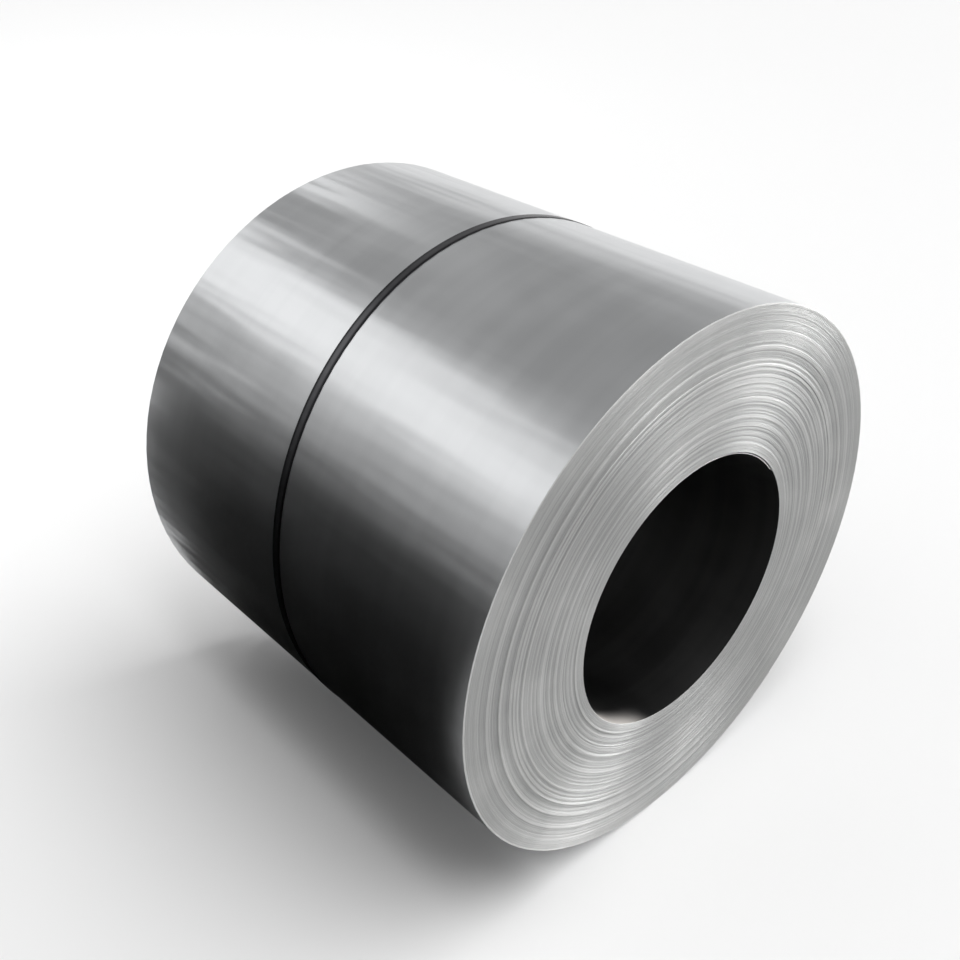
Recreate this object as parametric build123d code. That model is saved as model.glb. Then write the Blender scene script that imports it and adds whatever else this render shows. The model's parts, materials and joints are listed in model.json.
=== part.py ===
"""A coil of bright steel strip, lying on its side and held by one steel strap.

The coil's axis runs along X, +Z is up, and the origin is on the floor under the middle of the coil. All lengths are
in millimetres. The near end is the one at +X. Angles round the axis are in degrees from the top, and from the near
end they count anticlockwise.
"""

import os
from math import cos, degrees, radians, sin, tan

from build123d import *

# The wound strip
strip_width = 900.0
strip_thickness = 2.0
outer_diameter = 1010.0
bore_diameter = 508.0
# How far apart along the axis the turns have wandered while they were wound
side_wander = 3.0
# The strip's inner end is a step in the bore, its outer end a step on the outside. Beyond each step the next turn
# comes up to the round again within the closing angle.
inner_end_angle = -50.0
outer_end_angle = 220.0
closing_angle = 70.0

# The strap
strap_width = 19.0
strap_thickness = 0.9
strap_offset = -11.0
strap_lean = 3.9
strap_overlap = 120.0

# The seal on the strap's overlapped ends
seal_angle = -60.0
seal_length = 32.0
seal_thickness = 1.0
seal_clearance = 0.15
crimp_radius = 3.2
crimp_spacing = 14.0

# How far a cutting shape runs past what it cuts
overrun = 5.0

outer_radius = outer_diameter / 2
bore_radius = bore_diameter / 2
coil_length = strip_width + side_wander
axis_height = outer_radius + strap_thickness
seal_width = strap_width + 2 * (seal_thickness + seal_clearance)

# Groups of turns that lie level, from the bore outwards: where each group ends, as a share of the wound wall, and how
# far it is shifted to the near end, as a share of the wander
ring_shares = (
    (0.08, 0.00),
    (0.19, -0.35),
    (0.27, 0.20),
    (0.36, -0.10),
    (0.41, 0.50),
    (0.54, 0.00),
    (0.59, -0.40),
    (0.64, 0.30),
    (0.70, -0.50),
    (0.73, 0.45),
    (0.79, -0.20),
    (0.83, 0.25),
    (0.91, -0.30),
    (1.00, 0.05),
)


def polar(radius, angle):
    """A point of the plane across the axis, given by its radius and its angle from the top."""
    return (-radius * sin(radians(angle)), radius * cos(radians(angle)))


def wound_wall():
    """The wound strip as a body of revolution.

    Every turn is as wide as the strip, so a group of turns that stands out at one end is set in at the other.
    """
    wall = outer_radius - bore_radius
    near_edge, far_edge = [], []
    inner = bore_radius
    for end_share, shift_share in ring_shares:
        outer = bore_radius + end_share * wall
        shift = shift_share * side_wander
        near_edge += [(shift + strip_width / 2, inner), (shift + strip_width / 2, outer)]
        far_edge += [(shift - strip_width / 2, inner), (shift - strip_width / 2, outer)]
        inner = outer
    section = make_face(Polyline(*near_edge, *reversed(far_edge), close=True))
    return revolve(section, Axis.X)


def strip_end(radius, side, step_angle, closed_angle):
    """What is cut away beyond an end of the strip: a crescent as deep as the strip at the step, and then ever less.

    The side is 1 on the bore, where the crescent cuts outwards, and -1 on the outside.
    """
    middle_angle = (step_angle + closed_angle) / 2
    floor = ThreePointArc(
        polar(radius + side * strip_thickness, step_angle),
        polar(radius + side * strip_thickness / 2, middle_angle),
        polar(radius, closed_angle),
    )
    air = ThreePointArc(
        polar(radius - side * overrun, closed_angle),
        polar(radius - side * overrun, middle_angle),
        polar(radius - side * overrun, step_angle),
    )
    outline = [floor, Line(floor @ 1, air @ 0), air, Line(air @ 1, floor @ 0)]
    return extrude(Plane.YZ * make_face(outline), amount=coil_length / 2 + overrun, both=True)


def make_coil():
    """The coil with its bore, its stepped ends and the two ends of its strip."""
    coil = wound_wall()
    coil -= strip_end(bore_radius, 1, inner_end_angle, inner_end_angle - closing_angle)
    coil -= strip_end(outer_radius, -1, outer_end_angle, outer_end_angle + closing_angle)
    return coil


def band(inner_radius, outer_band_radius, width):
    """A ring round the coil between two parallel planes that lean as the strap leans."""
    across = Rot(0, 90, 0)
    ring = across * Cylinder(outer_band_radius, strip_width) - across * Cylinder(inner_radius, strip_width)
    reach = 2 * (outer_band_radius + overrun)
    return ring & Pos(strap_offset, 0, 0) * Rot(0, -strap_lean, 0) * Box(width, reach, reach)


def stretch(length):
    """A block over the seal's place that cuts a band to a length round the coil."""
    return Rot(seal_angle, 0, 0) * Pos(0, 0, outer_radius) * Box(strip_width, length, 2 * overrun)


def crimps():
    """The notches that the sealing tool shears into both edges of the seal and of the strap inside it."""
    notches = []
    for place in (-crimp_spacing / 2, crimp_spacing / 2):
        angle = seal_angle + degrees(place / outer_radius)
        middle = strap_offset - outer_radius * cos(radians(angle)) * tan(radians(strap_lean))
        for edge in (middle - seal_width / 2, middle + seal_width / 2):
            notches.append(Rot(angle, 0, 0) * Pos(edge, 0, outer_radius) * Cylinder(crimp_radius, 2 * overrun))
    return notches


def make_strap():
    """The strap: one turn tight on the coil, with a second layer where its ends overlap under the seal."""
    one_layer = outer_radius + strap_thickness
    strap = band(outer_radius, one_layer, strap_width)
    strap += band(one_layer, one_layer + strap_thickness, strap_width) & stretch(strap_overlap)
    return strap - crimps()


def make_seal():
    """The seal: a sheet steel clip folded over the two layers of the strap, down to the coil on both sides."""
    inside_radius = outer_radius + 2 * strap_thickness
    clip = band(outer_radius, inside_radius + seal_thickness, seal_width) & stretch(seal_length)
    clip -= band(outer_radius, inside_radius, strap_width + 2 * seal_clearance)
    return clip - crimps()


os.makedirs("parts", exist_ok=True)
for node, shape in (("coil", make_coil()), ("strap", make_strap()), ("strap_seal", make_seal())):
    placed = Pos(0, 0, axis_height) * shape
    export_step(placed, f"parts/{node}.step")
    print(node, placed.bounding_box())
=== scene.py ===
# %% [markdown]
# # A strapped coil of bright steel strip
#
# A steel mill winds its sheet into coils. Here one such coil, already drawn in CAD, gets its looks in
# Blender. The CAD part is loaded first as a fixed frame, in metres: the coil's axis runs along X, the end
# that the camera sees is at +X, and the floor is at height 0. Every piece made below lies in that frame, so
# nothing has to be fitted by eye. The coil's main sizes come from the record that is packed with the part.

# %% The frame and its sizes
import json
from math import radians, tan

import bpy
import numpy as np
from mathutils import Matrix, Vector


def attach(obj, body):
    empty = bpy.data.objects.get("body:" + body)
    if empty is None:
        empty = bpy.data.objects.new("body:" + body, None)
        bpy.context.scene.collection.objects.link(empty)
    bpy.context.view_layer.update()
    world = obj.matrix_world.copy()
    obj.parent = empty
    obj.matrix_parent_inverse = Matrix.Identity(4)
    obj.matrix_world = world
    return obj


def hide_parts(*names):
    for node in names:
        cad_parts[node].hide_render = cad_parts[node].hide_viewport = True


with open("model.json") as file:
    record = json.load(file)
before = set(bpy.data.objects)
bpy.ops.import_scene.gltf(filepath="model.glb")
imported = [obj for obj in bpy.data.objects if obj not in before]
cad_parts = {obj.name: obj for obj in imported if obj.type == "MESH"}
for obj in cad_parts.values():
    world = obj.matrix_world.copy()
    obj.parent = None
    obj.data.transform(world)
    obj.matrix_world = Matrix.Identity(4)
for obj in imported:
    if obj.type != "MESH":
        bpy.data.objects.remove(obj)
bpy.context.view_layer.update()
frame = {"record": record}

eye = next(mount for mount in frame["record"]["mounts"] if mount["name"] == "eye")
bore_radius = eye["dims"]["r_mm"] / 1000
strip_width = eye["dims"]["length_mm"] / 1000
axis_height = eye["pos_m"][2]
strap_thickness = 0.0009
outer_radius = axis_height - strap_thickness
print("coil", round(2 * outer_radius, 4), "across, bore", round(2 * bore_radius, 4), "width", strip_width)

# %% [markdown]
# ## From arrays to a mesh
#
# A surface here is a set of points worked out with numpy and a table of four-cornered faces. The helper
# below hands both to Blender in one go with `foreach_set`, which is much faster than adding vertices one by
# one. Points are given round the coil: a place along the axis, a distance from it, and an angle from the
# top that counts anticlockwise when the near end is looked at. A number that a finish needs at every point,
# such as how many turns lie below it, goes into the mesh as an attribute.


# %% Helpers for meshes
def round_the_axis(along, radius, angle):
    """Points from cylinder coordinates: x along the axis, y = -radius sin(angle), z = radius cos(angle)."""
    along, radius, angle = np.broadcast_arrays(along, radius, angle)
    return np.stack([along, -radius * np.sin(angle), axis_height + radius * np.cos(angle)], axis=-1)


def make_piece(name, points, quads, finishes, finish_numbers):
    """A mesh object at the origin, with one finish number for each of its four-cornered faces."""
    mesh = bpy.data.meshes.new(name)
    mesh.vertices.add(len(points))
    mesh.vertices.foreach_set("co", points.astype(np.float32).ravel())
    mesh.loops.add(quads.size)
    mesh.loops.foreach_set("vertex_index", quads.astype(np.int32).ravel())
    mesh.polygons.add(len(quads))
    mesh.polygons.foreach_set("loop_start", np.arange(0, quads.size, 4, dtype=np.int32))
    mesh.polygons.foreach_set("material_index", np.asarray(finish_numbers, dtype=np.int32))
    mesh.polygons.foreach_set("use_smooth", np.ones(len(quads), dtype=bool))
    for finish in finishes:
        mesh.materials.append(finish)
    mesh.update(calc_edges=True)
    piece = bpy.data.objects.new(name, mesh)
    bpy.context.scene.collection.objects.link(piece)
    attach(piece, "root")
    print(name, "has", len(points), "points and", len(quads), "faces")
    return piece


def set_attribute(piece, name, values):
    """One number at each point of a piece, for its finish to read."""
    attribute = piece.data.attributes.new(name, "FLOAT", "POINT")
    attribute.data.foreach_set("value", values.astype(np.float32))


# %% [markdown]
# ## Shader arithmetic
#
# A finish is a small sum of noises and masks. Node trees are hard to read as a list of links, so one class
# wraps an output socket and lets Python's own operators add the Math nodes. Every other kind of node comes
# from its `node` method, which takes the settings first and then the values or links of the sockets.
# Colours go through Mix nodes and directions through Vector Math, since a Math node would make one grey
# number of them.


# %% A socket that can be reckoned with
class Value:
    """One output socket in a finish's node tree."""

    def __init__(self, tree, socket):
        self.tree = tree
        self.socket = socket

    def node(self, kind, settings, sockets, output=0):
        """Add a node, set its settings, then fill its sockets with numbers, colours or links."""
        added = self.tree.nodes.new(kind)
        for key, setting in settings.items():
            setattr(added, key, setting)
        for key, given in sockets.items():
            if isinstance(given, Value):
                self.tree.links.new(given.socket, added.inputs[key])
            else:
                added.inputs[key].default_value = given
        return Value(self.tree, added.outputs[output])

    def maths(self, operation, first, second=0.0):
        """A Math node on two numbers, of which either may vary."""
        return self.node("ShaderNodeMath", {"operation": operation}, {0: first, 1: second})

    def __add__(self, other):
        return self.maths("ADD", self, other)

    def __radd__(self, other):
        return self.maths("ADD", other, self)

    def __sub__(self, other):
        return self.maths("SUBTRACT", self, other)

    def __rsub__(self, other):
        return self.maths("SUBTRACT", other, self)

    def __mul__(self, other):
        return self.maths("MULTIPLY", self, other)

    def __rmul__(self, other):
        return self.maths("MULTIPLY", other, self)

    def vectors(self, operation, second=(0.0, 0.0, 0.0)):
        """This direction or place joined with a second one by Vector Math."""
        return self.node("ShaderNodeVectorMath", {"operation": operation}, {0: self, 1: second})

    def scaled(self, factor):
        """This direction made longer or shorter by a number that may vary."""
        return self.node("ShaderNodeVectorMath", {"operation": "SCALE"}, {0: self, "Scale": factor})

    def coordinate(self, axis):
        """The X, Y or Z of this place."""
        return self.node("ShaderNodeSeparateXYZ", {}, {0: self}, output=axis)

    def attribute(self, name):
        """A number that the mesh carries at its points."""
        return self.node("ShaderNodeAttribute", {"attribute_name": name}, {}, output="Fac")

    def rise(self, low, high):
        """0 below the low value, 1 above the high one, and a smooth rise between them."""
        settings = {"interpolation_type": "SMOOTHSTEP"}
        return self.node("ShaderNodeMapRange", settings, {0: self, 1: low, 2: high})

    def between(self, first, second):
        """The colour that goes from the first to the second as this value goes from 0 to 1."""
        return self.node("ShaderNodeMix", {"data_type": "RGBA"}, {0: self, 6: first, 7: second}, output=2)

    def stretched_noise(self, scales, detail=2.0, roughness=0.5):
        """Noise on this place, with its own number of waves per metre along each axis."""
        sockets = {"Vector": self.vectors("MULTIPLY", scales), "Scale": 1.0, "Detail": detail}
        return self.node("ShaderNodeTexNoise", {}, sockets | {"Roughness": roughness})

    def bump(self, distance):
        """A normal tilted by this height, counted in units of the distance."""
        return self.node("ShaderNodeBump", {}, {"Strength": 1.0, "Distance": distance, "Height": self})


def new_finish(name, metallic, sockets_of):
    """A Principled material: sockets_of takes the place on the object and gives what varies over it."""
    finish = bpy.data.materials.new(name)
    finish.use_nodes = True
    tree = finish.node_tree
    shader = tree.nodes["Principled BSDF"]
    shader.inputs["Metallic"].default_value = metallic
    coordinates = tree.nodes.new("ShaderNodeTexCoord")
    for key, given in sockets_of(Value(tree, coordinates.outputs["Object"])).items():
        tree.links.new(given.socket, shader.inputs[key])
    print("finish", name, "has", len(tree.nodes), "nodes")
    return finish


# %% [markdown]
# ## The sheet's finish
#
# Cold rolled sheet is nearly a mirror, but not a perfect one. The rolls leave hair-fine lines along the
# strip, which on a coil run round the girth, and oil leaves faint clouds. Both change the tone and the
# roughness a little. The sheet also isn't quite flat: long shallow buckles lie along the coil and bend the
# mirrored lights into tapering streaks. They are heights, so they go through a Bump node, and they are
# stronger towards the far end. No line needs the angle round the axis, only noise that is stretched along X
# or pressed flat along it.


# %% Bright sheet
def sheet_sockets(place, pale, dark, dull):
    """Rolled sheet: colour, roughness and normal, with the dull value added to its roughness."""
    streaks = place.stretched_noise((30.0, 1.2, 1.2))
    clouds = place.stretched_noise((3.0, 5.0, 5.0), detail=3.0)
    buckles = place.stretched_noise((1.2, 13.0, 13.0), roughness=0.4)
    calm = place.coordinate("X").rise(-0.45, 0.1)
    tone = streaks.rise(0.3, 0.7) * 0.5 + clouds.rise(0.35, 0.65) * 0.5
    return {
        "Base Color": tone.between(dark, pale),
        "Roughness": dull + 0.04 * streaks + 0.06 * clouds.rise(0.4, 0.75),
        "Normal": (buckles * (1.2 - 0.85 * calm)).bump(0.009),
    }


def bright_sockets(place):
    """The sheet outside: pale and glossy."""
    return sheet_sockets(place, pale=(0.70, 0.71, 0.72, 1.0), dark=(0.65, 0.66, 0.67, 1.0), dull=0.285)


bright_sheet = new_finish("bright_sheet", 1.0, bright_sockets)

# %% [markdown]
# ## The finish inside the eye
#
# Inside the eye the sheet is the same, but it is dull, and it mirrors only itself. Its colour is also made
# almost black, which is painted shade for the deep eye. At the near end a pale patch lies on its low left
# side, where light falls in: it is dust, and it is also painted light. Dust isn't metal, so where it lies
# the Metallic value goes down as well as the colour going up.

# %% Dull sheet in the eye, darkened as painted shade
dust_and_light_colour = (0.55, 0.52, 0.49, 1.0)
# The pale patch of dust and painted light lies low, and to the left as the near end is looked at, where
# light falls into the eye
dust_and_light_down, dust_and_light_left = 0.70, 0.71


def bore_sockets(place):
    """Dull sheet darkened as painted shade, with pale dust and painted light where a place lies far enough
    to the near end and to the low side.
    """
    # The colour is made almost black here: painted shade for the deep eye
    sockets = sheet_sockets(place, pale=(0.13, 0.13, 0.13, 1.0), dark=(0.09, 0.09, 0.09, 1.0), dull=0.34)
    low_side = dust_and_light_down * (axis_height - place.coordinate("Z")) - dust_and_light_left * place.coordinate("Y")
    near_end = place.coordinate("X").rise(0.40, 0.455)
    # A pale, dull patch on the low left side at the near end: dust, and also painted light where light falls
    # in
    dust_and_light = near_end * low_side.rise(0.84 * bore_radius, 0.98 * bore_radius)
    sockets["Base Color"] = dust_and_light.between(sockets["Base Color"], dust_and_light_colour)
    sockets["Metallic"] = 1.0 - dust_and_light
    sockets["Roughness"] = sockets["Roughness"] + 0.3 * dust_and_light
    return sockets


bore_sheet_painted_shade_and_light = new_finish("bore_sheet_painted_shade_and_light", 1.0, bore_sockets)

# %% [markdown]
# ## The finish of the turns' edges
#
# On the ends of the coil one sees only the slit edges of the strip, one above the other. They are metal
# too, but sheared and scuffed, so they are much duller than the sheet. The mesh made below carries the
# number of turns wound so far. Noise along that number gives each turn its own tone, the same all the way
# round. A second attribute says how far a turn stands out past its neighbours: what stands out is made
# pale and what is set in is made darker, which is partly wear and partly painted highlight and painted
# shade. The outermost and the innermost turn are made paler still, a painted highlight along the two rims.
#
# The knives also leave lines along each edge, far finer than a pixel. They make the end shine in a fan, as
# a gramophone record does, brightest where the lines lie across the light. Real grooves that fine would
# only flicker, so the normal itself leans to and fro from line to line, outwards and back, and a little
# askew as the knives drag.

# %% Slit edges
strip_layers = 126
shear_skew = tan(radians(-10.0))
shear_lean = 1.05
# How fast the lines follow each other, in radians a turn, and how far noise moves them, in radians
shear_pace, shear_drift = 43.0, 40.0


def edge_sockets(place):
    """Slit edges: a tone for each turn, scuffs that cross the turns, ridges paler and valleys darker (wear,
    painted highlight and painted shade), pale rims as a painted highlight, and fine shear lines.

    The normal is the face's own plus a lean: the direction away from the axis times a sine of the turns.
    """
    turns = place.attribute("turns")
    noise_along = {"W": turns, "Scale": 0.8, "Detail": 3.0, "Roughness": 0.7}
    by_turn = turns.node("ShaderNodeTexNoise", {"noise_dimensions": "1D"}, noise_along)
    scuffs = place.stretched_noise((6.0, 6.0, 6.0), detail=4.0)
    # Ridges paler and valleys darker: wear, and also painted highlight and painted shade
    wear_and_painted_light = place.attribute("standing").rise(-0.0004, 0.0004)
    # The outermost and the innermost turn made paler: a painted highlight along the two rims
    painted_highlight_rims = turns.rise(strip_layers - 1.3, strip_layers - 1.0) + (1.0 - turns.rise(0.8, 1.1))
    tone = by_turn.rise(0.3, 0.7) * 0.3 + scuffs.rise(0.35, 0.7) * 0.3 + wear_and_painted_light * 0.4 + painted_highlight_rims * 0.5
    from_axis = place.vectors("MULTIPLY", (0.0, 1.0, 1.0)).vectors("SUBTRACT", (0.0, 0.0, axis_height))
    askew = from_axis.vectors("CROSS_PRODUCT", (shear_skew, 0.0, 0.0))
    outward = from_axis.vectors("ADD", askew).vectors("NORMALIZE")
    shear_lines = turns.maths("SINE", shear_pace * turns + shear_drift * by_turn)
    face_normal = place.node("ShaderNodeNewGeometry", {}, {}, output="Normal")
    return {
        "Base Color": tone.between((0.29, 0.294, 0.292, 1.0), (0.59, 0.59, 0.583, 1.0)),
        "Roughness": 0.38 + 0.08 * by_turn + 0.06 * scuffs,
        "Normal": face_normal.vectors("ADD", outward.scaled(shear_lean * shear_lines)).vectors("NORMALIZE"),
    }


slit_edges = new_finish("slit_edges", 1.0, edge_sockets)

# %% [markdown]
# ## The wound strip
#
# The coil could be a turned body with a ring texture on its ends. It is made as what it is instead: one
# strip, wound round and round. Both of its edges are worked out step by step along the whole winding.
#
# The strip never winds quite straight: groups of turns stand out a millimetre or two, and each turn a
# little. Because the strip is equally wide everywhere, what stands out at one end is set in at the other. A
# turn doesn't climb evenly either. It stays on its round for three quarters of the way and climbs by one
# layer in the last quarter, so the coil is round to the eye and its two strip ends are plain steps.

# %% How the strip is wound
steps_per_turn = 96
inner_end_angle = radians(-50.0)
# The outer end of the strip comes 270 degrees on from the inner one, counted in steps
end_step = 72
last_step = (strip_layers - 1) * steps_per_turn + end_step
layer_pitch = (outer_radius - bore_radius) / strip_layers

# Groups of turns, from the bore outwards: where each ends, as a share of the wall, and its shift to the
# near end, as a share of the wander
side_wander = 0.003
ring_shares = np.array([
    (0.08, 0.00), (0.19, -0.35), (0.27, 0.20), (0.36, -0.10), (0.41, 0.50), (0.54, 0.00), (0.59, -0.40),
    (0.64, 0.30), (0.70, -0.50), (0.73, 0.45), (0.79, -0.20), (0.83, 0.25), (0.91, -0.30), (1.00, 0.05),
])
# How many turns the strip takes to go half way over from one group to the next
half_way_over = 0.4

# Ridges of a few turns each: where each stands in the wall, its share of the full height and how many turns
# it takes
ridge_height = 0.0006
ridge_shares = (
    (0.073, 0.8, 1.0), (0.108, 0.6, 1.0), (0.143, 0.6, 0.9), (0.176, 0.9, 1.0), (0.257, 1.0, 1.6),
    (0.308, 0.5, 1.0), (0.347, 0.4, 1.0), (0.383, 0.4, 1.2), (0.427, 0.9, 1.2), (0.456, 0.7, 0.9),
    (0.484, 0.4, 1.0), (0.534, 0.5, 1.4), (0.574, 0.9, 1.2), (0.605, 0.6, 0.9), (0.637, 0.9, 1.3),
    (0.689, 0.8, 1.2), (0.724, 1.0, 1.2), (0.784, 0.4, 1.4), (0.818, 0.5, 1.2), (0.902, 0.7, 1.6),
)

# A slow drift and a quick jitter: the turns between two random shifts, and how large these are
drifts = ((5.0, 0.00015), (0.6, 0.00008))
drift_seed = 11


def winding_radius(step):
    """Distance of the strip's inner side from the axis: it grows by a layer in the last part of a turn."""
    turn, part = np.divmod(step, steps_per_turn)
    growth = np.clip((part - end_step) / (steps_per_turn - end_step), 0.0, 1.0)
    return bore_radius + layer_pitch * (turn + growth)


def winding_shift(step):
    """How far the strip lies towards the near end: level groups, plus ridges, plus drift and jitter."""
    turns = step / steps_per_turn
    ends = ring_shares[:, 0] * strip_layers
    shifts = ring_shares[:, 1] * side_wander / 2
    knots = np.stack([ends[:-1] - half_way_over, ends[:-1] + half_way_over], axis=1).ravel()
    levels = np.interp(turns, knots, np.stack([shifts[:-1], shifts[1:]], axis=1).ravel())
    for share, height, width in ridge_shares:
        levels = levels + height * ridge_height * np.exp(-((turns - share * strip_layers) / width) ** 4)
    random = np.random.default_rng(drift_seed)
    for spacing, size in drifts:
        places = np.arange(-spacing, strip_layers + 2 * spacing, spacing)
        levels = levels + np.interp(turns, places, random.normal(0.0, size, len(places)))
    return levels


print("strip of", strip_layers, "layers, each", round(1000 * layer_pitch, 3), "mm")

# %% [markdown]
# ## The strip's two edges
#
# At each step an edge has three points: the groove against the turn below, and the two corners of the
# strip. The groove above it is the groove point one turn later, so the faces close by themselves from turn
# to turn. The inner end of the strip isn't tied down. It springs a little into the bore and leaves a dark
# slit behind it, which is the small bright tab at the upper right of the eye.

# %% The strip's two edges
edge_run = 0.0008
edge_drop = 0.0005
spring_in = 0.0016
spring_steps = 4.0
slit_depth = 0.02
# Where the two corners lie between one groove and the next, as shares of a layer
corner_shares = (edge_run / layer_pitch, 1 - edge_run / layer_pitch)


def edge_rows(side):
    """Groove, inner corner and outer corner along the winding, at the near end (side 1) or the far one (-1).

    The spring and the slit behind it both die away with the steps from the strip's inner end.
    """
    groove_steps = np.arange(last_step + steps_per_turn + 1)
    strip_steps = np.arange(last_step + 1)
    past_first_turn = groove_steps - steps_per_turn
    angle = inner_end_angle + 2 * np.pi * groove_steps / steps_per_turn
    radius = winding_radius(groove_steps)
    spring = np.where(past_first_turn < 0, spring_in * np.exp(-groove_steps / spring_steps), 0.0)
    slit = np.exp(-(past_first_turn / (2 * spring_steps)) ** 2) * (past_first_turn >= 0)
    face = strip_width / 2
    groove_along = side * (face - edge_drop - slit_depth * slit) + winding_shift(groove_steps)
    rows = [round_the_axis(groove_along, radius - spring, angle)]
    corner_radii = (radius[strip_steps] + edge_run, radius[strip_steps + steps_per_turn] - edge_run)
    for share, corner_radius in zip(corner_shares, corner_radii):
        along = side * face + winding_shift(strip_steps + share * steps_per_turn)
        rows.append(round_the_axis(along, corner_radius - spring[strip_steps], angle[strip_steps]))
    return rows


rows = edge_rows(1) + edge_rows(-1)
print("rows of", [len(row) for row in rows], "points")

# %% [markdown]
# ## The strip's faces
#
# All rows go into one list of points, and a face is four numbers in that list. The two slit edges are faces
# between neighbouring rows along the whole winding. The sheet itself shows only on its first turn, in the
# bore, and on its last one, outside, so only these two turns get faces from the near groove to the far one.
# The cut ends of the strip close the surface.

# %% The strip's faces
row_starts = np.cumsum([0] + [len(row) for row in rows])[:-1]
near_rows, far_rows = row_starts[:3], row_starts[3:]
near_groove, far_groove = near_rows[0], far_rows[0]


def between_rows(low, high):
    """Faces along the whole winding between two rows, given by the numbers of their first points."""
    low, high = low + np.arange(last_step), high + np.arange(last_step)
    return np.stack([low, high, high + 1, low + 1], axis=1)


def edge_faces(groove, inner, outer):
    """A slit edge: from the groove up, across the strip, and down to the groove one turn later."""
    rising = between_rows(groove, inner)
    return np.concatenate([rising, between_rows(inner, outer), between_rows(outer, groove + steps_per_turn)])


def one_turn(first_step):
    """One turn of sheet from the near groove to the far one."""
    near, far = (groove + first_step + np.arange(steps_per_turn) for groove in (near_groove, far_groove))
    return np.stack([near, near + 1, far + 1, far], axis=1)


def end_of_strip(at_step):
    """The cut end of the strip: three faces through its thickness, from the near edge to the far one."""
    offsets = np.array([at_step, at_step, at_step, at_step + steps_per_turn])
    near, far = (edge[[0, 1, 2, 0]] + offsets for edge in (near_rows, far_rows))
    return np.stack([near[:-1], near[1:], far[1:], far[:-1]], axis=1)


outside = np.concatenate([one_turn(last_step)[:, ::-1], end_of_strip(last_step)])
edges = np.concatenate([edge_faces(*near_rows), edge_faces(*far_rows)[:, ::-1]])
inside = np.concatenate([one_turn(0), end_of_strip(0)[:, ::-1]])
strip = make_piece(
    "wound_strip",
    np.concatenate(rows),
    np.concatenate([outside, edges, inside]),
    [bright_sheet, slit_edges, bore_sheet_painted_shade_and_light],
    np.repeat([0, 1, 2], [len(outside), len(edges), len(inside)]),
)

# %% [markdown]
# ## What the strip's points carry, and its sharp rims
#
# The finish of the edges asks for two numbers at every point: the turns wound so far, and how far the edge
# stands out past the mean of the turns around it. Smooth shading rounds the small grooves, which is right
# there. It must not round the four rims where the sheet meets its edges, or the bore and the outside would
# shade like a cushion, so those edges are marked sharp.

# %% Attributes and rims
turns_around = np.linspace(-3.0, 3.0, 7)[:, None]
row_shares = (0.0, *corner_shares) * 2
turns = np.concatenate([
    np.arange(len(row)) / steps_per_turn + share for row, share in zip(rows, row_shares)
])
mean_shift = winding_shift((turns + turns_around) * steps_per_turn).mean(axis=0)
standing = winding_shift(turns * steps_per_turn) - mean_shift
standing[far_groove:] *= -1
set_attribute(strip, "turns", turns)
set_attribute(strip, "standing", standing)

strip.data.set_sharp_from_angle(angle=radians(60.0))
sharp = np.empty(len(strip.data.edges), dtype=bool)
edge_ends = np.empty(2 * len(sharp), dtype=np.int32)
strip.data.edges.foreach_get("use_edge_sharp", sharp)
strip.data.edges.foreach_get("vertices", edge_ends)
for rim in (near_groove, near_groove + last_step, far_groove, far_groove + last_step):
    sharp |= np.isin(edge_ends.reshape(-1, 2), rim + np.arange(steps_per_turn + 1)).all(axis=1)
strip.data.edges.foreach_set("use_edge_sharp", sharp)
print("turns up to", turns.max().round(2), "and", sharp.sum(), "sharp edges")
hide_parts("coil")

# %% [markdown]
# ## The finishes of the strap and its seal
#
# Steel strapping is a thin band, blued until it is almost black. It is streaked along its length, and its
# middle is made a little paler than its edges, which the finish knows from an attribute that goes from -1
# to 1 across the band. The paler middle is partly worn blueing and partly a painted sheen, and the darker
# edges are painted shade. The seal is pressed from plain zinc-grey sheet, with the mottle that zinc has.


# %% Strap and seal finishes
def strap_sockets(place):
    """Dark strapping: nearly black and streaked along the band, worn and with a painted sheen in its middle
    and painted shade at its edges.
    """
    streaks = place.stretched_noise((600.0, 12.0, 12.0), detail=3.0)
    wear = place.stretched_noise((60.0, 60.0, 60.0), detail=4.0)
    across = place.attribute("across")
    # The middle paler and the edges darker: worn blueing, and also a painted sheen and painted shade
    wear_and_painted_light = (1.0 - across.maths("ABSOLUTE", across).rise(0.25, 0.8)) * (0.5 + 0.5 * wear)
    return {
        "Base Color": (wear_and_painted_light + 0.2 * streaks).between((0.012, 0.012, 0.014, 1.0), (0.11, 0.11, 0.116, 1.0)),
        "Roughness": 0.29 + 0.08 * streaks + 0.06 * wear,
        "Normal": streaks.bump(0.00005),
    }


def seal_sockets(place):
    """Zinc-grey pressed sheet: mottled, with rubbed patches."""
    mottle = place.stretched_noise((300.0, 300.0, 300.0), detail=4.0)
    rubs = place.stretched_noise((120.0, 60.0, 60.0))
    return {
        "Base Color": mottle.rise(0.3, 0.7).between((0.34, 0.35, 0.36, 1.0), (0.52, 0.53, 0.54, 1.0)),
        "Roughness": 0.32 + 0.2 * rubs,
        "Normal": mottle.bump(0.0001),
    }


dark_strapping = new_finish("dark_strapping", 1.0, strap_sockets)
zinc_seal = new_finish("zinc_seal", 1.0, seal_sockets)

# %% [markdown]
# ## The strap's path
#
# Strap and seal are both a profile carried along one path: round the coil on a slight slant. The path lies
# in a leaning plane, so its place along the axis is a cosine of the angle. At each angle a small frame is
# worked out, with one direction away from the coil and one across the band, and the profile is laid out in
# that frame. A curve with a bevel could do the same, but it couldn't be pinched at the seal.

# %% The strap's path
strap_width = 0.019
strap_offset = -0.011
strap_lean = radians(3.9)
seal_angle = radians(-60.0)


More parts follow.
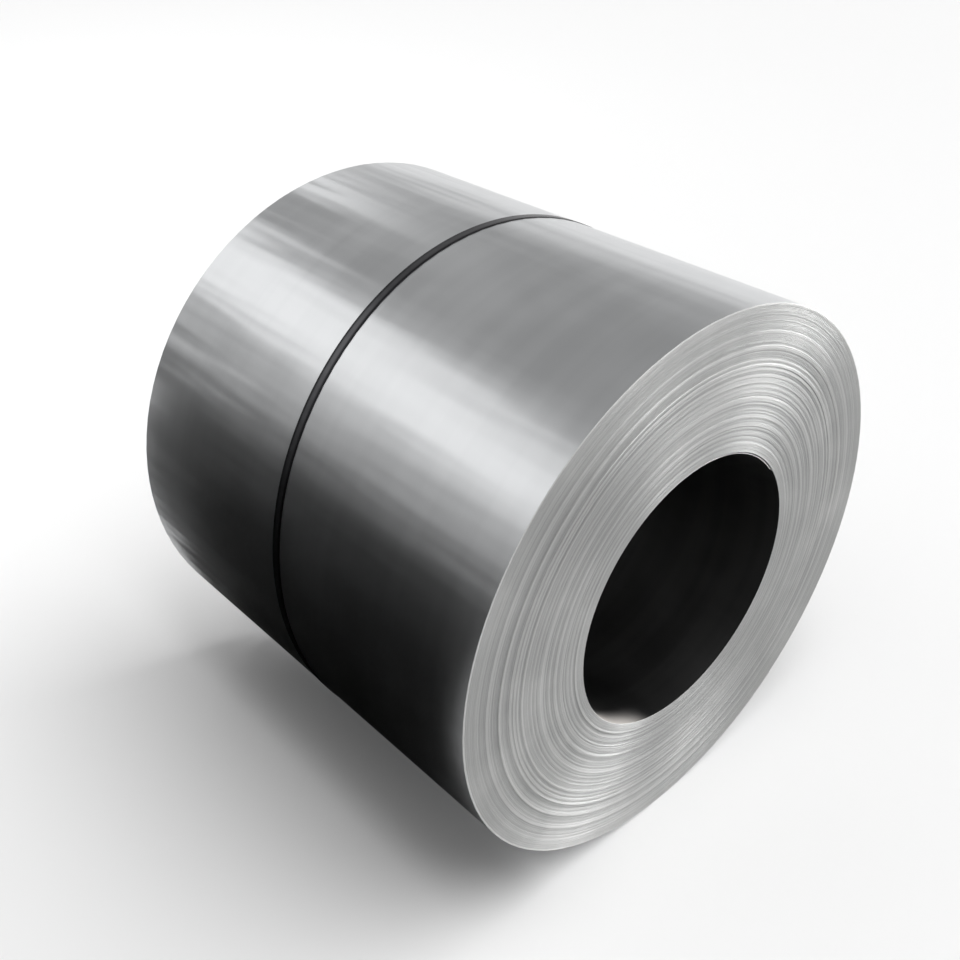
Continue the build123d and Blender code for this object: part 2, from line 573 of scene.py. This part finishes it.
def strap_frame(angle):
    """Centre line on the coil, outward direction and direction across the band at each angle of the path."""
    sine, cosine = np.sin(angle), np.cos(angle)
    centre = round_the_axis(strap_offset - outer_radius * cosine * tan(strap_lean), outer_radius, angle)
    outward = np.stack([0 * angle, -sine, cosine], axis=-1)
    forward = np.stack([sine * tan(strap_lean), -cosine, -sine], axis=-1)
    forward /= np.linalg.norm(forward, axis=-1, keepdims=True)
    return centre, outward, np.cross(outward, forward)


def carry_profile(angle, upper_across, upper, lower_across, lower):
    """A closed band: at each angle of the path its upper side across the band, then its lower side back.

    The other four are arrays of path steps by places across the band: distances across it, and heights on
    the coil.
    """
    centre, outward, sideways = strap_frame(angle)
    sides = np.concatenate([upper_across, lower_across[:, ::-1]], axis=1)
    heights = np.concatenate([upper, lower[:, ::-1]], axis=1)
    points = centre[:, None] + sides[..., None] * sideways[:, None] + heights[..., None] * outward[:, None]
    steps, ring = heights.shape
    index = np.arange(steps * ring).reshape(steps, ring)
    turned = np.roll(index, -1, axis=1)
    skin = np.stack([index[:-1], turned[:-1], turned[1:], index[1:]], axis=-1).reshape(-1, 4)
    half = np.arange(ring // 2 - 1)
    cap = np.stack([half, ring - 1 - half, ring - 2 - half, half + 1], axis=1)
    return points.reshape(-1, 3), np.concatenate([skin, cap, cap[:, ::-1] + index[-1, 0]])


print("one turn of strap takes", round(2 * np.pi * outer_radius, 3), "m")

# %% [markdown]
# ## The strap
#
# The band starts under the seal, goes once round the coil, and its second end climbs over the first. Its
# edges are rounded by the rolls. Under the seal the sealing tool has bitten into both edges in two places,
# and the strap is as much narrower there as the seal is.

# %% The strap
strap_overlap = 0.12
lift_length = 0.03
crimp_spacing = 0.014
crimp_width = 0.0022
crimp_depth = 0.0022
# The band's section: places across it from edge to edge, and how far its edges are rounded off there, as a
# share of its thickness
band_places = np.array([-1.0, -0.985, -0.95, -0.5, 0.0, 0.5, 0.95, 0.985, 1.0])
band_rounding = np.array([0.3, 0.12, 0.0, 0.0, 0.0, 0.0, 0.0, 0.12, 0.3])


def smooth_rise(values, low, high):
    """0 below the low value, 1 above the high one, and a smooth rise between them."""
    share = np.clip((values - low) / (high - low), 0.0, 1.0)
    return share * share * (3 - 2 * share)


def crimp(along):
    """How deep the sealing tool has bitten at a place along the band, counted from the seal's middle."""
    places = (-crimp_spacing / 2, crimp_spacing / 2)
    bites = [np.exp(-((along - place) / crimp_width) ** 2) for place in places]
    return crimp_depth * (bites[0] + bites[1])


def make_strap():
    """The band's rounded section carried from its first end, once round, and over itself to its end."""
    lap = strap_overlap / outer_radius / 2
    fine = np.linspace(-lap, lap, 121)
    long_way = np.linspace(lap, 2 * np.pi - lap, 301)[1:-1]
    turned = np.concatenate([fine, long_way, fine + 2 * np.pi])
    lap_start = 2 * np.pi * outer_radius - strap_overlap / 2
    lift = strap_thickness * smooth_rise(turned * outer_radius, lap_start - lift_length, lap_start)
    along = (np.mod(turned + np.pi, 2 * np.pi) - np.pi) * outer_radius
    across = (strap_width / 2 - crimp(along))[:, None] * band_places
    rounding = band_rounding * strap_thickness
    upper = lift[:, None] + strap_thickness - rounding
    lower = lift[:, None] + rounding
    points, quads = carry_profile(seal_angle + turned, across, upper, across, lower)
    strap = make_piece("strap_band", points, quads, [dark_strapping], np.zeros(len(quads)))
    set_attribute(strap, "across", np.tile(np.concatenate([band_places, band_places[::-1]]), len(turned)))
    strap.data.set_sharp_from_angle(angle=radians(50.0))
    return strap


strap = make_strap()
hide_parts("strap")

# %% [markdown]
# ## The seal
#
# The two ends of the strap are held by a small clip of sheet steel, folded over them and bitten from both
# sides by the sealing tool. Its section is an arch with an outer and an inner skin. It is carried along the
# strap's own path, and the bites narrow it in the same two places.

# %% The seal
seal_length = 0.032
seal_thickness = 0.001
seal_clearance = 0.00015
# How far the clip's top sinks at a bite, as a share of the bite's depth
bite_sink = 0.15
# The arch from one foot over the top to the other: places across it, and shares of its height
arch_places = np.array([-1.0, -1.0, -0.96, -0.86, 0.0, 0.86, 0.96, 1.0, 1.0])
arch_heights = np.array([0.0, 0.72, 0.94, 1.0, 1.0, 1.0, 0.94, 0.72, 0.0])


def make_seal():
    """The folded clip: an outer and an inner skin over two layers of strap, pinched at the bites."""
    along = np.linspace(-seal_length / 2, seal_length / 2, 65)
    bite = crimp(along)[:, None]
    half_inside = strap_width / 2 + seal_clearance - bite
    top = 2 * strap_thickness + seal_thickness - bite_sink * bite
    points, quads = carry_profile(
        seal_angle + along / outer_radius,
        (half_inside + seal_thickness) * arch_places,
        top * arch_heights,
        half_inside * arch_places,
        (top - seal_thickness) * arch_heights,
    )
    seal = make_piece("crimped_seal", points, quads, [zinc_seal], np.zeros(len(quads)))
    seal.data.set_sharp_from_angle(angle=radians(50.0))
    return seal


seal = make_seal()
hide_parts("strap_seal")

# %% [markdown]
# ## Floor and cards
#
# Bright metal shows its surroundings more than itself, so the surroundings are kept plain: a pale floor,
# and sheets of black paper, as a studio stands them beside polished metal. The bent near card and the bent
# back card give the lower flanks a dark edge against the floor. The far card darkens the flank under the
# white band. The paper thins out at its foot, at its top and towards the near end, so that its reflection
# has soft borders. The cards stand between the coil and some cameras, so only the camera doesn't see them.


# %% Stage
def stage_sheet(name, corners, finish):
    """One flat four-cornered sheet of the stage."""
    mesh = bpy.data.meshes.new(name)
    mesh.from_pydata(corners, [], [(0, 1, 2, 3)])
    mesh.materials.append(finish)
    sheet = bpy.data.objects.new(name, mesh)
    bpy.context.scene.collection.objects.link(sheet)
    return sheet


def paint(finish, grey, roughness):
    """One grey and one roughness all over a finish of the stage."""
    shader = finish.node_tree.nodes["Principled BSDF"]
    shader.inputs["Base Color"].default_value = (grey, grey, grey, 1.0)
    shader.inputs["Roughness"].default_value = roughness


def paper(name, foot, top):
    """Black paper that thins out at the near end, its foot and its top, each from a low to a high place."""
    def sockets_of(place):
        height = place.coordinate("Z")
        near_end = place.coordinate("X").rise(0.36, 0.50)
        return {"Alpha": height.rise(*foot) * (1.0 - height.rise(*top)) * (1.0 - near_end)}

    finish = new_finish(name, 0.0, sockets_of)
    paint(finish, grey=0.01, roughness=0.5)
    return finish


pale_floor = bpy.data.materials.new("pale_floor")
pale_floor.use_nodes = True
paint(pale_floor, grey=0.85, roughness=0.8)
reach = 200.0
floor_corners = [(-reach, -reach, 0.0), (reach, -reach, 0.0), (reach, reach, 0.0), (-reach, reach, 0.0)]
stage_sheet("floor", floor_corners, pale_floor)

near_paper = paper("near_paper", (0.0, 0.1), (0.69, 0.80))
far_paper = paper("far_paper", (0.3, 0.70), (0.95, 1.45))
back_paper = paper("back_paper", (0.0, 0.1), (0.30, 0.62))
cards = (
    ("far_card", far_paper,
     [(0.1, -1.80, 0.3), (-2.6, -1.02, 0.3), (-2.6, -1.02, 1.45), (0.1, -1.80, 1.45)]),
    ("back_card_foot", back_paper,
     [(-0.50, 0.28, 0.0), (0.42, 0.28, 0.0), (0.42, 0.54, 0.20), (-0.50, 0.54, 0.20)]),
    ("back_card", back_paper,
     [(-0.50, 0.54, 0.20), (0.42, 0.54, 0.20), (0.42, 0.64, 0.62), (-0.50, 0.64, 0.62)]),
    ("near_card_foot", near_paper,
     [(0.50, -0.28, 0.0), (-0.47, -0.28, 0.0), (-0.56, -0.52, 0.26), (0.50, -0.52, 0.26)]),
    ("near_card", near_paper,
     [(0.50, -0.52, 0.26), (-0.56, -0.52, 0.26), (-0.66, -0.62, 0.80), (0.50, -0.62, 0.80)]),
)
for name, card_paper, corners in cards:
    stage_sheet(name, corners, card_paper).visible_camera = False
print("stage has a floor and", len(cards), "sheets of black paper")

# %% [markdown]
# ## Lights
#
# The sky is bright at the horizon and dims upwards, so the top of the coil mirrors a calm grey. A broad
# soft sun from above gives the floor its shadow. The long softbox draws the white band along the coil, and
# the small one brightens its far upper edge. A low sun from the right meets the shear lines on the near end
# and lights them up as a fan.

# %% Sky
horizon_glow = (1.15, 1.15, 1.15, 1.0)
zenith_glow = (0.31, 0.31, 0.31, 1.0)

world = bpy.data.worlds.new("plain_sky")
world.use_nodes = True
sky = world.node_tree
direction = Value(sky, sky.nodes.new("ShaderNodeTexCoord").outputs["Generated"])
glow = direction.coordinate("Z").rise(0.0, 0.5).between(horizon_glow, zenith_glow)
sky.links.new(glow.socket, sky.nodes["Background"].inputs["Color"])
bpy.context.scene.world = world
print("sky from", horizon_glow[0], "at the horizon to", zenith_glow[0], "above")

# %% [markdown]
# A lamp shines along its own -Z, so its turn is a matrix of three directions: along its long side, upwards
# across it, and back from the target. For a sun only the direction counts, and its angle makes its shadows
# soft. The camera doesn't see the lamps themselves.


# %% Lamps
def add_lamp(name, kind, place, target, along, strength, **shape):
    """A lamp that looks from its place at the target, with its long side along a direction."""
    lamp = bpy.data.lights.new(name, kind)
    lamp.energy = strength
    for key, setting in shape.items():
        setattr(lamp, key, setting)
    holder = bpy.data.objects.new(name, lamp)
    back = (Vector(place) - Vector(target)).normalized()
    upward = back.cross(Vector(along)).normalized()
    turn = Matrix((upward.cross(back), upward, back)).transposed()
    holder.matrix_world = Matrix.Translation(place) @ turn.to_4x4()
    holder.visible_camera = False
    bpy.context.scene.collection.objects.link(holder)
    print("lamp", name, "of strength", strength)


def add_softbox(name, x, y, along, strength, length, width):
    """A rectangular lamp that hangs level over a place and shines straight down."""
    height = 2.9
    size = {"shape": "RECTANGLE", "size": length, "size_y": width}
    add_lamp(name, "AREA", (x, y, height), (x, y, 0.0), along, strength, **size)


middle = (0.0, 0.0, 0.0)
add_lamp("soft_sun", "SUN", (0.9, 0.15, 2.4), middle, (0.0, 1.0, 0.0), 2.2, angle=radians(56.0))
add_lamp("side_sun", "SUN", (0.22, 0.97, 0.02), middle, (0.0, 0.0, 1.0), 3.4, angle=radians(40.0))
add_softbox("long_softbox", -2.587, -1.726, (-0.839, 0.545, 0.0), 31.5, length=4.4, width=2.2)
add_softbox("small_softbox", -4.3, 1.7, (1.0, 0.0, 0.0), 9.5, length=2.4, width=0.7)

# %% [markdown]
# ## Camera
#
# The camera stands where the photograph was taken from: close, to the left of the near end, and looking
# down at the coil. Its place, lens and two angles were fitted to the outlines of the eye and of the body.

# %% Camera
camera_data = bpy.data.cameras.new("camera")
camera_data.lens = 42.14
camera = bpy.data.objects.new("camera", camera_data)
camera.location = (1.2964, -1.2467, 1.7053)
camera_dip, camera_turn = radians(33.56), radians(47.52)
camera.rotation_euler = (np.pi / 2 - camera_dip, 0.0, camera_turn)
bpy.context.scene.collection.objects.link(camera)
bpy.context.scene.camera = camera
bpy.context.scene.view_settings.view_transform = "Standard"
print("camera at", tuple(round(value, 3) for value in camera.location))
